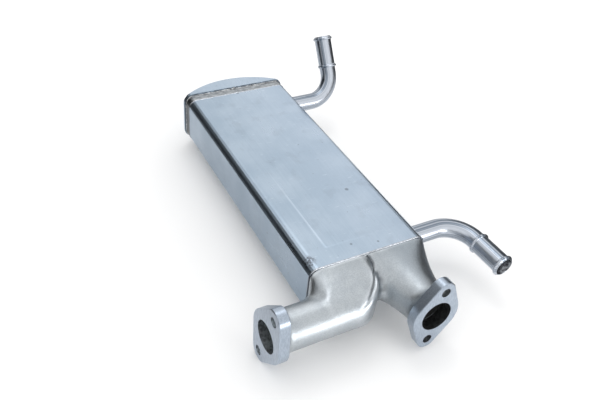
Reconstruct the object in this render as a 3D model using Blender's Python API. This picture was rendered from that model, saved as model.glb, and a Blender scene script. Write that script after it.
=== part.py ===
# EGR cooler: a flat U-flow exhaust gas cooler with a cast gas manifold at its near end, a return
# tank at its far end and two bent coolant pipes on its right side.
# Metres, +Z up. The long axis of the core runs along Y, with the gas ports at the -Y end.
# The pieces are placed in a core frame, whose origin is the middle of the shell's near end at the
# height of its underside, and one root empty then carries them all to the part's own frame.

import math

import bmesh
import bpy
from mathutils import Matrix, Vector

# Fit between pieces
CLEARANCE = 0.0003          # gap left between two pieces that seat on each other
CUT_MARGIN = 0.002          # how far a cutter runs past what it cuts

# Shell
SHELL_WIDTH = 0.120
SHELL_HEIGHT = 0.0534
SHELL_LENGTH = 0.2875
SHELL_WALL = 0.0015
SHELL_CORNER = 0.009        # outer radius of the long edges
CORNER_STEPS = 6            # facets in each rounded corner
MERGE_DISTANCE = 0.000001   # points of a skin that fall together become one
SMOOTH_ANGLE = math.radians(32)

# Gas tubes and their fins: the tubes fill the shell's section but for these coolant spaces
TUBE_ROWS = 5
TUBE_WALL = 0.0005
ROW_GAP = 0.0032            # space between two tubes of a column
COLUMN_GAP = 0.0100         # space between the two columns of tubes
EDGE_GAP = 0.0055           # space between a column and the shell's side
FLOOR_GAP = 0.0033          # space between a column and the shell's top or bottom
FIN_THICKNESS = 0.0003
FIN_WAVES = 7
FIN_FLANK = 0.12            # share of a wave that each flank leans over
FIN_RECESS = 0.004          # how far each fin ends inside its tube

# Header plates and tube supports
HEADER_THICKNESS = 0.002
SUPPORT_THICKNESS = 0.001
SUPPORT_WINDOW = 0.003      # strip left open beside a support for the coolant
SUPPORT_COUNT = 3

# Far header: its rim is the band that shows between the shell and the return tank
PAN_DEPTH = 0.0045          # how far the header's floor lies inside the shell
RIM_LENGTH = 0.0105
RIM_WALL = 0.0033

# Return tank
TANK_WALL = 0.0018
TANK_BULGE = 0.0210         # how far the tank's middle stands out past its ends
TANK_NECK = 0.0004          # straight stretch between the lip and the bulge
TANK_EDGE = 0.0030          # rounding of the bulge's upper and lower edges
TANK_STEPS = 20
LIP_PROUD = 0.0016          # how far the rolled lip stands out past the shell
LIP_LENGTH = 0.0026

# Gas manifold, common to both branches
CASTING_WALL = 0.0042
SIDE_STEPS = 6              # points along each straight side of a branch's section
NOSE_STEPS = 16             # points round the free side of a branch's section
NOSE_SAMPLES = 90           # places tried for where a straight side touches the free side
BASE_DEPTH = 0.0042
BASE_TAPER = 0.0026
FLANGE_THICKNESS = 0.0100
FLANGE_CHAMFER = 0.0006
BOSS_STEPS = 6
BOLT_HOLE_RADIUS = 0.0045
BOLT_HOLE_FACETS = 16

# Left branch: an elbow that turns the gas to a port on the left
LEFT_STEP = 0.0050          # how far the elbow's flat side lies inside the shell's side
LEFT_REACH = 0.0534         # from the shell's side out to the port's sealing face
LEFT_AXIS = -0.0292         # the pipe's axis, in front of the shell
LEFT_PIPE_RADIUS = 0.0185
LEFT_BORE_RADIUS = 0.0146
LEFT_BOLT_REACH = 0.0312    # from the bore's middle to each bolt hole
LEFT_BOLT_LEAN = math.radians(20.1)
LEFT_BELLY_RADIUS = 0.0238
LEFT_BOSS_RADIUS = 0.0110
ELBOW_RADIUS = 0.0330       # outer radius of the turn, seen from above
ELBOW_STEPS = 5             # sections in the turn before its outer wall rounds off
ELBOW_EDGE = 0.0060         # rounding of the turn's upper and lower edges
ELBOW_WALL = -0.0030        # sideways place of the elbow's outer wall
WALL_STEPS = 6              # sections in the rounding of the outer wall
WALL_EDGE = 0.0020          # least rounding of an edge inside the casting
FLARE = 0.0070              # cove where the pipe leaves the flat side
FLARE_STEPS = 5
SIDE_EDGE = 0.0012          # rounding round the flat side
SIDE_EDGE_STEPS = 4

# Right branch: a neck that leads straight on to a port in front
RIGHT_FACE = -0.0682        # sealing face of the port, at its middle
RIGHT_AXIS = 0.0300         # sideways place of the port
RIGHT_TIP = math.radians(4.0)
RIGHT_STEP = 0.0002         # how far the neck's mouth lies inside the shell's side
NECK_WALL = -0.0035         # sideways place of the mouth's other side, beside the elbow
RIGHT_PIPE_RADIUS = 0.0192
RIGHT_BORE_RADIUS = 0.0150
RIGHT_BOLT_REACH = 0.0259
RIGHT_BOLT_LEAN = math.radians(10.9)
RIGHT_BELLY_RADIUS = 0.0235
RIGHT_BOSS_RADIUS = 0.0100
NECK_STEPS = 9
NECK_FACETS = 32
NECK_SQUARE = 4.5           # how boxy the neck's mouth is
NECK_SOFTEN = 7             # how soon the box turns round
NECK_HOLD = 0.9             # how long the neck keeps the width of its mouth
NECK_FALL = 1.5             # how soon the neck loses the height of its mouth

# Coolant pipes
PIPE_RADIUS = 0.0095
PIPE_WALL = 0.0012
PIPE_INSERT = 0.0010        # how far each pipe reaches past the inside of the shell's wall
PIPE_BEND_RADIUS = 0.0300
PIPE_FACETS = 20
BEND_STEPS = 10
SPIGOT_RADIUS = 0.0098
SPIGOT_LENGTH = 0.0355      # from the pipe's end to the middle of its first bead
BEAD_RADIUS = 0.0113
BEAD_LENGTH = 0.0036
BEAD_STEPS = 4
BEAD_ROUND = 0.8            # power that rounds a bead's crest
END_BEAD_PLACE = 0.0026     # distance from the pipe's end to the middle of its last bead
NEAR_PIPE_PLACE = 0.0247    # distance of the pipe's root from the shell's near end
NEAR_PIPE_REACH = 0.0351    # straight stretch from the shell's side to the bend
NEAR_PIPE_TURN = math.radians(88)
NEAR_PIPE_LEAN = math.radians(-90)  # from upright; the near pipe lies level, towards the gas ports
NEAR_PIPE_TAIL = 0.0407
FAR_PIPE_PLACE = 0.0159     # distance of the pipe's root from the shell's far end
FAR_PIPE_RAISE = 0.0053     # how far its root lies above the shell's middle
FAR_PIPE_REACH = 0.0301
FAR_PIPE_TURN = math.radians(90)
FAR_PIPE_LEAN = math.radians(31.7)
FAR_PIPE_TAIL = 0.0440

# Weld beads
WELD_WIDTH = 0.0018
WELD_HEIGHT = 0.0006
ROOT_WELD = 0.0022
ROOT_WELD_HOLLOW = 0.35     # share of a root weld's height left at the middle of its fillet
WELD_TOE = 0.0001           # thickness of a root weld at its outer rim

TUBE_WIDTH = SHELL_WIDTH / 2 - SHELL_WALL - EDGE_GAP - COLUMN_GAP / 2
TUBE_STACK = SHELL_HEIGHT - 2 * SHELL_WALL - 2 * FLOOR_GAP
TUBE_HEIGHT = (TUBE_STACK - (TUBE_ROWS - 1) * ROW_GAP) / TUBE_ROWS
TUBE_PITCH = TUBE_HEIGHT + ROW_GAP
MIDDLE = Vector((0, 0, SHELL_HEIGHT / 2))
COLUMN_OFFSET = (TUBE_WIDTH + COLUMN_GAP) / 2
FAR_PLATE = SHELL_LENGTH - PAN_DEPTH
TUBE_LENGTH = FAR_PLATE + HEADER_THICKNESS
RIM_START = SHELL_LENGTH + CLEARANCE
RIM_END = RIM_START + RIM_LENGTH
TANK_START = RIM_END + CLEARANCE
LEFT_SIDE = LEFT_STEP - SHELL_WIDTH / 2
LEFT_FACE = -SHELL_WIDTH / 2 - LEFT_REACH
NECK_SIDE = SHELL_WIDTH / 2 - RIGHT_STEP
RIGHT_WIDTH = NECK_SIDE - NECK_WALL
RIGHT_MIDDLE = (NECK_SIDE + NECK_WALL) / 2
NEAR_PIPE_ROOT = Vector((SHELL_WIDTH / 2, NEAR_PIPE_PLACE, MIDDLE.z))
FAR_PIPE_ROOT = Vector((SHELL_WIDTH / 2, SHELL_LENGTH - FAR_PIPE_PLACE, MIDDLE.z + FAR_PIPE_RAISE))

# Finishes: colour, metal share and roughness
SHEET_STEEL = ((0.62, 0.67, 0.72), 0.9, 0.35)
CAST_STEEL = ((0.60, 0.62, 0.63), 0.8, 0.5)
TINTED_STEEL = ((0.48, 0.44, 0.40), 0.8, 0.45)
INNER_STEEL = ((0.40, 0.41, 0.42), 0.9, 0.5)
PIPE_STEEL = ((0.62, 0.67, 0.72), 1.0, 0.25)
WELD_STEEL = ((0.62, 0.67, 0.72), 0.9, 0.4)


# Outlines

def rounded_rectangle(width, height, radius, steps=CORNER_STEPS):
    """Points of a rounded rectangle about the middle, one corner after another."""
    points = []
    for corner in range(4):
        start = corner * math.pi / 2
        side_x = 1 if corner in (0, 3) else -1
        side_y = 1 if corner in (0, 1) else -1
        centre = Vector((side_x * (width / 2 - radius), side_y * (height / 2 - radius)))
        for step in range(steps + 1):
            turn = start + step * math.pi / 2 / steps
            points.append(centre + radius * Vector((math.cos(turn), math.sin(turn))))
    return points


def across(points, y, middle=MIDDLE):
    """An outline stood up across the core, at a distance along it."""
    return [Vector((middle.x + point.x, y, middle.z + point.y)) for point in points]


def shell_outline(y, offset):
    """The shell's outer outline at a distance along it, moved inwards by an offset."""
    width = SHELL_WIDTH - 2 * offset
    height = SHELL_HEIGHT - 2 * offset
    return across(rounded_rectangle(width, height, SHELL_CORNER - offset), y)


def circle(matrix, radius, facets):
    """Points of a circle in the XY plane of a matrix."""
    turns = [2 * math.pi * step / facets for step in range(facets)]
    return [matrix @ Vector((radius * math.cos(turn), radius * math.sin(turn), 0)) for turn in turns]


def flange_outline(belly, boss, reach):
    """Two bolt bosses and a round belly, joined by straight edges; the bolts lie along X."""
    lean = math.acos((belly - boss) / reach)
    points = []
    for place, radius, start, stop in (
        (reach, boss, -lean, lean),
        (0, belly, lean, math.pi - lean),
        (-reach, boss, math.pi - lean, math.pi + lean),
        (0, belly, math.pi + lean, 2 * math.pi - lean),
    ):
        for step in range(BOSS_STEPS + 1):
            turn = start + (stop - start) * step / BOSS_STEPS
            points.append(Vector((place + radius * math.cos(turn), radius * math.sin(turn), 0)))
    return points


# Mesh building

def ring(bm, points):
    verts = [bm.verts.new(point) for point in points]
    return [bm.edges.new(pair) for pair in zip(verts, verts[1:] + verts[:1])]


def loft(outlines, ends="filled"):
    """A skin through a row of outlines, whose two ends are filled, joined or left open."""
    bm = bmesh.new()
    loops = [ring(bm, points) for points in outlines]
    for near, far in zip(loops, loops[1:]):
        bmesh.ops.bridge_loops(bm, edges=near + far)
    if ends == "joined":
        bmesh.ops.bridge_loops(bm, edges=loops[-1] + loops[0])
    if ends == "filled":
        bmesh.ops.edgeloop_fill(bm, edges=loops[0])
        bmesh.ops.edgeloop_fill(bm, edges=loops[-1])
    bmesh.ops.remove_doubles(bm, verts=bm.verts, dist=MERGE_DISTANCE)
    bmesh.ops.recalc_face_normals(bm, faces=bm.faces)
    return bm


def round_bar(matrix, radius, start, stop, facets):
    """A round bar along the Z axis of a matrix."""
    return loft([circle(matrix @ Matrix.Translation((0, 0, place)), radius, facets)
                 for place in (start, stop)])


def material(name, finish):
    colour, metallic, roughness = finish
    made = bpy.data.materials.new(name)
    made.use_nodes = True
    shader = made.node_tree.nodes["Principled BSDF"]
    shader.inputs["Base Color"].default_value = (*colour, 1)
    shader.inputs["Metallic"].default_value = metallic
    shader.inputs["Roughness"].default_value = roughness
    return made


def place(name, bm):
    """Turns a bmesh into an object under the root."""
    mesh = bpy.data.meshes.new(name)
    bm.to_mesh(mesh)
    bm.free()
    shape = bpy.data.objects.new(name, mesh)
    bpy.context.collection.objects.link(shape)
    shape.parent = root
    return shape


def piece(name, bm, finish):
    """A named piece of the cooler, with its own material."""
    shape = place(name, bm)
    shape.data.shade_smooth()
    shape.data.set_sharp_from_angle(angle=SMOOTH_ANGLE)
    shape.data.materials.append(material(name, finish))
    return shape


def cutter(name, bodies):
    """One hidden tool that holds one or more separate bodies."""
    joined = bmesh.new()
    for body in bodies:
        mesh = bpy.data.meshes.new(name)
        body.to_mesh(mesh)
        body.free()
        joined.from_mesh(mesh)
        bpy.data.meshes.remove(mesh)
    tool = place(name, joined)
    tool.hide_render = True
    tool.display_type = "WIRE"
    return tool


def add_wall(shape, thickness, offset=-1):
    """Gives an open skin its wall: inwards from the skin, or to both sides of it at offset 0."""
    wall = shape.modifiers.new("wall", "SOLIDIFY")
    wall.thickness = thickness
    wall.offset = offset
    wall.use_even_offset = True


def combine(shape, tool, operation):
    step = shape.modifiers.new(tool.name, "BOOLEAN")
    step.operation = operation
    step.object = tool
    step.solver = "EXACT"


# Core

def tube_middles():
    """Name and middle of each tube, by column and row."""
    for column, side in (("left", -1), ("right", 1)):
        for row in range(TUBE_ROWS):
            rise = (row - (TUBE_ROWS - 1) / 2) * TUBE_PITCH
            yield f"{column}_{row + 1}", Vector((side * COLUMN_OFFSET, 0, MIDDLE.z + rise))


def tube_section(offset):
    """A flat tube's outline, moved inwards by an offset."""
    height = TUBE_HEIGHT - 2 * offset
    flat = TUBE_WIDTH - TUBE_HEIGHT
    points = []
    for side in (1, -1):
        for step in range(CORNER_STEPS + 1):
            turn = step * math.pi / CORNER_STEPS - math.pi / 2
            nose = Vector((side * math.cos(turn), side * math.sin(turn)))
            points.append(Vector((side * flat / 2, 0)) + height / 2 * nose)
    return points


def tube_slots(name, start, depth):
    """Cutters for all tubes, wider than the tubes by the clearance."""
    outline = tube_section(-CLEARANCE)
    return cutter(name, [loft([across(outline, start - CUT_MARGIN, middle),
                               across(outline, start + depth + CUT_MARGIN, middle)])
                         for _, middle in tube_middles()])


def make_shell():
    skin = loft([shell_outline(0, 0), shell_outline(SHELL_LENGTH, 0)], ends="open")
    shell = piece("shell", skin, SHEET_STEEL)
    add_wall(shell, SHELL_WALL)
    for name, root_place in (("near", NEAR_PIPE_ROOT), ("far", FAR_PIPE_ROOT)):
        side = Matrix.Translation(root_place) @ Matrix.Rotation(math.pi / 2, 4, "Y")
        depth = SHELL_WALL + CUT_MARGIN
        hole = round_bar(side, PIPE_RADIUS + CLEARANCE, -depth, depth, PIPE_FACETS)
        combine(shell, cutter(f"{name}_pipe_hole", [hole]), "DIFFERENCE")


def make_near_header():
    fit = SHELL_WALL + CLEARANCE
    plate = loft([shell_outline(0, fit), shell_outline(HEADER_THICKNESS, fit)])
    header = piece("near_header", plate, INNER_STEEL)
    combine(header, tube_slots("near_header_slots", 0, HEADER_THICKNESS), "DIFFERENCE")


def make_far_header():
    """A pressed pan: its slotted floor lies inside the shell and its rim shows outside."""
    fit = SHELL_WALL + CLEARANCE
    floor = FAR_PLATE + HEADER_THICKNESS
    rim = loft([shell_outline(RIM_START, 0), shell_outline(RIM_END, 0)])
    header = piece("far_header", rim, TINTED_STEEL)
    pan = loft([shell_outline(FAR_PLATE, fit), shell_outline(RIM_END - CLEARANCE, fit)])
    combine(header, cutter("far_header_pan", [pan]), "UNION")
    hollow = loft([shell_outline(floor, RIM_WALL), shell_outline(TANK_START + CLEARANCE, RIM_WALL)])
    combine(header, cutter("far_header_hollow", [hollow]), "DIFFERENCE")
    combine(header, tube_slots("far_header_slots", FAR_PLATE, HEADER_THICKNESS), "DIFFERENCE")


def make_tubes():
    for name, middle in tube_middles():
        outline = tube_section(0)
        skin = loft([across(outline, 0, middle), across(outline, TUBE_LENGTH, middle)], ends="open")
        add_wall(piece(f"gas_tube_{name}", skin, INNER_STEEL), TUBE_WALL)


def make_fins():
    """Corrugated sheets: one folded line drawn along the tube and given the sheet's thickness."""
    reach = TUBE_WIDTH - TUBE_HEIGHT
    crest = TUBE_HEIGHT / 2 - TUBE_WALL - CLEARANCE - FIN_THICKNESS / 2
    pitch = reach / FIN_WAVES
    flank = pitch * FIN_FLANK
    for name, middle in tube_middles():
        bm = bmesh.new()
        verts = []
        for wave in range(FIN_WAVES):
            left = middle.x - reach / 2 + wave * pitch
            for x, z in ((left + flank, -crest), (left + pitch / 2 - flank, -crest),
                         (left + pitch / 2 + flank, crest), (left + pitch - flank, crest)):
                verts.append(bm.verts.new((x, FIN_RECESS, middle.z + z)))
        folds = [bm.edges.new(pair) for pair in zip(verts, verts[1:])]
        drawn = bmesh.ops.extrude_edge_only(bm, edges=folds)["geom"]
        ends = [item for item in drawn if isinstance(item, bmesh.types.BMVert)]
        bmesh.ops.translate(bm, verts=ends, vec=(0, TUBE_LENGTH - 2 * FIN_RECESS, 0))
        add_wall(piece(f"gas_fin_{name}", bm, INNER_STEEL), FIN_THICKNESS, offset=0)


def make_supports():
    """Slotted plates across the shell, each open along one side in turn for the coolant."""
    fit = SHELL_WALL + CLEARANCE
    width = SHELL_WIDTH - 2 * fit - SUPPORT_WINDOW
    outline = rounded_rectangle(width, SHELL_HEIGHT - 2 * fit, SHELL_CORNER - fit)
    span = FAR_PLATE - HEADER_THICKNESS
    for count in range(SUPPORT_COUNT):
        side = -1 if count % 2 else 1
        middle = MIDDLE + Vector((side * SUPPORT_WINDOW / 2, 0, 0))
        start = HEADER_THICKNESS + span * (count + 1) / (SUPPORT_COUNT + 1)
        plate = loft([across(outline, start, middle),
                      across(outline, start + SUPPORT_THICKNESS, middle)])
        support = piece(f"tube_support_{count + 1}", plate, INNER_STEEL)
        slots = tube_slots(f"tube_support_{count + 1}_slots", start, SUPPORT_THICKNESS)
        combine(support, slots, "DIFFERENCE")


# Return tank

def tank_plan(z, inset, arc_inset, mouth):
    """The tank seen from above at one height: an open mouth, two sides and one long arc."""
    half = SHELL_WIDTH / 2
    radius = (half ** 2 + TANK_BULGE ** 2) / (2 * TANK_BULGE)
    centre = TANK_START + LIP_LENGTH + TANK_NECK + TANK_BULGE - radius
    reach = radius - arc_inset
    bend_start = TANK_START + LIP_LENGTH
    span = min(math.asin((half - inset) / reach), math.acos((bend_start - centre) / reach))
    turns = [span - 2 * span * step / TANK_STEPS for step in range(TANK_STEPS + 1)]
    arc = [Vector((reach * math.sin(turn), centre + reach * math.cos(turn), z)) for turn in turns]
    return [Vector((half - inset, mouth, z))] + arc + [Vector((inset - half, mouth, z))]


def tank_block(wall, mouth):
    """The tank as one block, smaller by a wall: shell corners at its sides, a tighter roll at its arc."""
    corner = SHELL_CORNER - wall
    edge = TANK_EDGE - wall
    levels = []
    for step in range(CORNER_STEPS + 1):
        turn = step * math.pi / 2 / CORNER_STEPS
        rise = corner * (1 - math.cos(turn))
        left = max(0, edge - rise)
        arc_inset = wall + edge - math.sqrt(edge ** 2 - left ** 2)
        levels.append((wall + rise, wall + corner * (1 - math.sin(turn)), arc_inset))
    lower = [tank_plan(rise, inset, arc_inset, mouth) for rise, inset, arc_inset in levels]
    upper = [tank_plan(SHELL_HEIGHT - rise, inset, arc_inset, mouth)
             for rise, inset, arc_inset in reversed(levels)]
    return loft(lower + upper)


def make_tank():
    tank = piece("end_cap", tank_block(0, TANK_START), SHEET_STEEL)
    lip = loft([shell_outline(TANK_START, -LIP_PROUD),
                shell_outline(TANK_START + LIP_LENGTH, -LIP_PROUD)])
    combine(tank, cutter("tank_lip", [lip]), "UNION")
    hollow = tank_block(TANK_WALL, TANK_START - LIP_LENGTH)
    combine(tank, cutter("tank_hollow", [hollow]), "DIFFERENCE")


# Gas manifold

def hull_section(centre, reach, height, square, corner):
    """A section of the left branch: upright back, sloping top and underside, rounded nose.

    Points are (Y, height above the middle). The nose is a superellipse about its centre, and the
    slopes run from the two back corners to where they touch it.
    """
    def nose(turn):
        rise = math.copysign(abs(math.sin(turn)) ** (2 / square), turn)
        return Vector((centre - reach * math.cos(turn) ** (2 / square), height * rise))

    turns = [math.pi / 2 * (step + 1) / NOSE_SAMPLES for step in range(NOSE_SAMPLES)]
    touch = max(turns, key=lambda turn: (nose(turn).y - corner.y) / (corner.x - nose(turn).x))
    points = [nose(touch - 2 * touch * step / NOSE_STEPS) for step in range(NOSE_STEPS + 1)]
    under = Vector((corner.x, -corner.y))
    stops = [points[-1], under, corner, points[0]]
    for start, stop in zip(stops, stops[1:]):
        points += [start.lerp(stop, step / SIDE_STEPS) for step in range(SIDE_STEPS)]
    points.remove(stops[0])
    return points


def elbow_section(progress, pipe, wall, back, lowered=0):
    """The elbow's section from the start of its turn, at 0, to its outer wall, at 1."""
    turn_radius = ELBOW_RADIUS - LEFT_PIPE_RADIUS + pipe
    edge = max(ELBOW_EDGE - wall, WALL_EDGE)
    gap = turn_radius * (1 - progress)
    drop = edge - math.sqrt(edge ** 2 - (edge - gap) ** 2) if gap < edge else 0
    half_height = SHELL_HEIGHT / 2 - wall - lowered
    lean = math.atan2(half_height, back - LEFT_AXIS)
    lean -= math.asin(pipe / math.hypot(half_height, back - LEFT_AXIS))
    front = LEFT_AXIS - pipe + turn_radius * (1 - math.sqrt(1 - progress ** 2))
    reach = pipe + (edge - pipe) * progress
    centre = front + reach
    if centre < LEFT_AXIS:
        height = math.sqrt(pipe ** 2 - (centre - LEFT_AXIS) ** 2)
    else:
        height = max(pipe, half_height - (back - centre) * math.tan(lean))
    corner = Vector((back, half_height - drop))
    return hull_section(centre, reach, height - drop, 2 + 2 * progress, corner)


def left_branch(pipe, wall, start, back):
    """The left branch as one block: round pipe, coved root, flat side, elbow and outer wall."""
    side = LEFT_SIDE + wall
    cove = pipe + FLARE
    into_corner = SHELL_CORNER - SHELL_WIDTH / 2 - LEFT_SIDE
    lowered = SHELL_CORNER - math.sqrt(SHELL_CORNER ** 2 - into_corner ** 2)
    full = elbow_section(0, pipe, wall, back, lowered)
    arms = [point - Vector((LEFT_AXIS, 0)) for point in full]

    def upright(x, points):
        return [Vector((x, point.x, MIDDLE.z + point.y)) for point in points]

    def round_section(x, radius):
        """The part of the full section that lies within a radius of the pipe's axis."""
        inner = [arm * min(1, radius / arm.length) for arm in arms]
        return upright(x, [arm + Vector((LEFT_AXIS, 0)) for arm in inner])

    def narrowed_section(x, inset):
        """The full section less an inset at its edge, but never inside the cove's rim."""
        inner = [arm * min(1, max(cove, arm.length - inset) / arm.length) for arm in arms]
        return upright(x, [arm + Vector((LEFT_AXIS, 0)) for arm in inner])

    rings = [round_section(start, pipe)]
    for step in range(FLARE_STEPS + 1):
        turn = step * math.pi / 2 / FLARE_STEPS
        radius = pipe + FLARE * (1 - math.cos(turn))
        rings.append(round_section(side - FLARE * (1 - math.sin(turn)), radius))
    for step in range(1, SIDE_EDGE_STEPS + 1):
        turn = step * math.pi / 2 / SIDE_EDGE_STEPS
        inset = SIDE_EDGE * (1 - math.sin(turn))
        rings.append(narrowed_section(side + SIDE_EDGE * (1 - math.cos(turn)), inset))
    turn_radius = ELBOW_RADIUS - LEFT_PIPE_RADIUS + pipe
    edge = max(ELBOW_EDGE - wall, WALL_EDGE) / turn_radius
    stages = [(1 - edge) * step / ELBOW_STEPS for step in range(ELBOW_STEPS)]
    for step in range(WALL_STEPS + 1):
        stages.append(1 - edge * (1 - math.sin(step * math.pi / 2 / WALL_STEPS)))
    for stage in stages:
        x = ELBOW_WALL - ELBOW_RADIUS + turn_radius * stage
        rings.append(upright(x, elbow_section(stage, pipe, wall, back)))
    return loft(rings)


def right_branch(pipe, wall, start, back):
    """The right branch as one block: a boxy mouth at the shell that closes to a round neck."""
    length = back - start
    rings = []
    for step in range(NECK_STEPS + 1):
        stage = step / NECK_STEPS
        ease = 1 - (stage ** 2 * (3 - 2 * stage)) ** NECK_HOLD
        width = pipe + (RIGHT_WIDTH / 2 - wall - pipe) * ease
        height = pipe + (SHELL_HEIGHT / 2 - wall - pipe) * (1 - stage) ** NECK_FALL
        square = 2 + NECK_SQUARE * (1 - stage) ** NECK_SOFTEN
        tip = Matrix.Rotation(-RIGHT_TIP * stage, 3, "X")
        sag = -length * math.tan(RIGHT_TIP) * stage * (1 - stage)
        sideways = RIGHT_AXIS + (RIGHT_MIDDLE - RIGHT_AXIS) * ease
        middle = Vector((sideways, back - length * stage, MIDDLE.z + sag))
        section = []
        for facet in range(NECK_FACETS):
            turn = 2 * math.pi * (facet + 0.5) / NECK_FACETS
            x = math.copysign(abs(math.cos(turn)) ** (2 / square), math.cos(turn))
            z = math.copysign(abs(math.sin(turn)) ** (2 / square), math.sin(turn))
            section.append(middle + tip @ Vector((width * x, 0, height * z)))
        rings.append(section)
    return loft(rings)


def port_matrix(face, outward, lean):
    """A port's sealing face: Z points out of it and X lies along its two bolts."""
    sideways = Vector((0, 0, 1)).cross(outward).normalized()
    upward = outward.cross(sideways)
    bolts = math.cos(lean) * upward + math.sin(lean) * sideways
    turned = Matrix((bolts, outward.cross(bolts), outward)).transposed().to_4x4()
    return Matrix.Translation(face) @ turned


LEFT_OUTWARD = Vector((-1, 0, 0))
RIGHT_OUTWARD = Vector((0, -math.cos(RIGHT_TIP), math.sin(RIGHT_TIP)))
LEFT_PORT = port_matrix(Vector((LEFT_FACE, LEFT_AXIS, MIDDLE.z)), LEFT_OUTWARD, LEFT_BOLT_LEAN)
RIGHT_PORT = port_matrix(Vector((RIGHT_AXIS, RIGHT_FACE, MIDDLE.z)), RIGHT_OUTWARD, RIGHT_BOLT_LEAN)


def flange(port, belly, boss, reach):
    """A flange with a small chamfer round its sealing face and its back."""
    outline = flange_outline(belly, boss, reach)
    inner = flange_outline(belly - FLANGE_CHAMFER, boss - FLANGE_CHAMFER, reach)
    layers = [(inner, -FLANGE_THICKNESS), (outline, FLANGE_CHAMFER - FLANGE_THICKNESS),
              (outline, -FLANGE_CHAMFER), (inner, 0)]
    return loft([[port @ (point + Vector((0, 0, depth))) for point in points] for points, depth in layers])


def bolt_holes(port, reach):
    through = 2 * FLANGE_THICKNESS
    return [round_bar(port @ Matrix.Translation((side * reach, 0, 0)), BOLT_HOLE_RADIUS, -through,
                      through, BOLT_HOLE_FACETS) for side in (-1, 1)]


def make_manifold():
    base = loft([shell_outline(-CLEARANCE, 0), shell_outline(-BASE_DEPTH, BASE_TAPER)])
    manifold = piece("gas_manifold", base, CAST_STEEL)
    seat = -2 * CLEARANCE
    past = 2 * FLANGE_THICKNESS
    inside = BASE_DEPTH
    half = FLANGE_THICKNESS / 2
    left = left_branch(LEFT_PIPE_RADIUS, 0, LEFT_FACE + half, seat)
    right = right_branch(RIGHT_PIPE_RADIUS, 0, RIGHT_FACE + half, seat)
    combine(manifold, cutter("left_branch", [left]), "UNION")
    combine(manifold, cutter("right_branch", [right]), "UNION")
    combine(manifold, cutter("left_flange", [flange(
        LEFT_PORT, LEFT_BELLY_RADIUS, LEFT_BOSS_RADIUS, LEFT_BOLT_REACH)]), "UNION")
    combine(manifold, cutter("right_flange", [flange(
        RIGHT_PORT, RIGHT_BELLY_RADIUS, RIGHT_BOSS_RADIUS, RIGHT_BOLT_REACH)]), "UNION")
    left = left_branch(LEFT_BORE_RADIUS, CASTING_WALL, LEFT_FACE - past, inside)
    combine(manifold, cutter("left_passage", [left]), "DIFFERENCE")
    right = right_branch(RIGHT_BORE_RADIUS, CASTING_WALL, RIGHT_FACE + half, inside)
    combine(manifold, cutter("right_passage", [right]), "DIFFERENCE")
    bore = round_bar(RIGHT_PORT, RIGHT_BORE_RADIUS, -FLANGE_THICKNESS, past, NECK_FACETS)
    combine(manifold, cutter("right_bore", [bore]), "DIFFERENCE")
    holes = bolt_holes(LEFT_PORT, LEFT_BOLT_REACH) + bolt_holes(RIGHT_PORT, RIGHT_BOLT_REACH)
    combine(manifold, cutter("bolt_holes", holes), "DIFFERENCE")


# Coolant pipes

def pipe_stations(root_place, reach, turn, lean, tail):
    """Middle, direction and outer radius at each station of a bent pipe, root first."""
    outward = Vector((1, 0, 0))
    turned = Vector((0, math.sin(lean), math.cos(lean)))
    stations = [(root_place - (SHELL_WALL + PIPE_INSERT) * outward, outward, PIPE_RADIUS)]
    bend = root_place + reach * outward + PIPE_BEND_RADIUS * turned
    for step in range(BEND_STEPS + 1):
        angle = turn * step / BEND_STEPS
        forward = math.cos(angle) * outward + math.sin(angle) * turned
        arm = math.sin(angle) * outward - math.cos(angle) * turned
        stations.append((bend + PIPE_BEND_RADIUS * arm, forward, PIPE_RADIUS))
    end, forward, _ = stations[-1]
    end = end + tail * forward
    swell = BEAD_RADIUS - SPIGOT_RADIUS
    for middle, before in ((SPIGOT_LENGTH, PIPE_RADIUS), (END_BEAD_PLACE, SPIGOT_RADIUS)):
        for step in range(BEAD_STEPS + 1):
            back = middle + BEAD_LENGTH * (1 / 2 - step / BEAD_STEPS)
            radius = SPIGOT_RADIUS + swell * math.sin(math.pi * step / BEAD_STEPS) ** BEAD_ROUND
            if step == 0:
                radius = before
            stations.append((end - back * forward, forward, radius))
    stations.append((end, forward, SPIGOT_RADIUS))
    return stations


def make_pipe(name, root_place, reach, turn, lean, tail):
    """A bent tube with a bead near each end of its hose spigot."""
    stations = pipe_stations(root_place, reach, turn, lean, tail)
    flat = Vector((1, 0, 0)).cross(Vector((0, math.sin(lean), math.cos(lean))))
    rings = []
    for middle, forward, radius in stations:
        frame = Matrix((flat, forward.cross(flat), forward)).transposed().to_4x4()
        rings.append(circle(Matrix.Translation(middle) @ frame, radius, PIPE_FACETS))
    add_wall(piece(name, loft(rings, ends="open"), PIPE_STEEL), PIPE_WALL)


def make_pipes():
    make_pipe("near_coolant_pipe", NEAR_PIPE_ROOT, NEAR_PIPE_REACH, NEAR_PIPE_TURN, NEAR_PIPE_LEAN,
              NEAR_PIPE_TAIL)
    make_pipe("far_coolant_pipe", FAR_PIPE_ROOT, FAR_PIPE_REACH, FAR_PIPE_TURN, FAR_PIPE_LEAN,
              FAR_PIPE_TAIL)


# Welds

def make_seam(name, y, finish):
    """A weld bead right round the shell, over the joint of two pieces."""
    half = WELD_WIDTH / 2
    foot, top = -CLEARANCE, -CLEARANCE - WELD_HEIGHT
    bead = loft([shell_outline(y - half, foot), shell_outline(y - half / 2, top),
                 shell_outline(y + half / 2, top), shell_outline(y + half, foot)], ends="joined")
    piece(name, bead, finish)


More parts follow.
